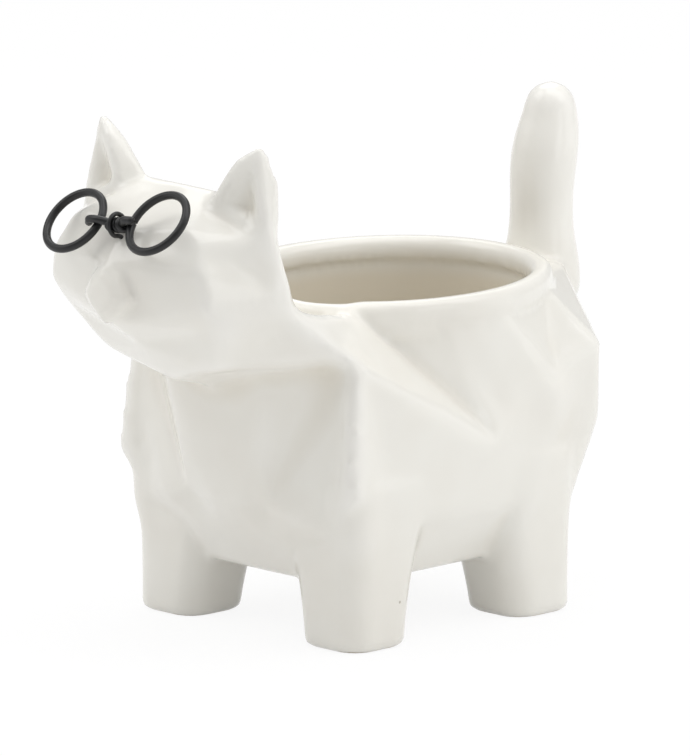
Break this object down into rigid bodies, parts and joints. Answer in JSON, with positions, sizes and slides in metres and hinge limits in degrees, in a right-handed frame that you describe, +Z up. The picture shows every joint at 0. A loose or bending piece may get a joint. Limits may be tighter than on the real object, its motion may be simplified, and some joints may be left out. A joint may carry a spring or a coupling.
{
  "type": "cat planter",
  "caption": "Faceted cat-shaped planter in white glazed ceramic, with an oval opening in its back, four legs, an upright tail and wire spectacles on its brow.",
  "frame": {"origin": "on the ground, under the middle of the part's length and width", "axes": "+Z up, the cat looks along -Y, +X is the cat's left side"},
  "size_m": [0.102, 0.1976, 0.1574],
  "materials": {
    "white_glaze": "gloss",
    "black_wire": "satin"
  },
  "bodies": {
    "planter": {"planter_body": "white_glaze"},
    "staple": {"brow_staple": "black_wire"},
    "spectacles": {"left_rim": "black_wire", "right_rim": "black_wire", "bridge_wire": "black_wire"}
  },
  "joints": [
    {"name": "spectacles_pull", "type": "slide", "parent": "planter", "child": "staple", "axis": [-0.0548, -0.7293, 0.682], "range_m": [0, 0.018]},
    {"name": "spectacles_nod", "type": "hinge", "parent": "staple", "child": "spectacles", "pos_m": [0, -0.0902, 0.1321], "axis": [0.9921, 0.0371, 0.1194], "range_deg": [-10, 25]}
  ]
}
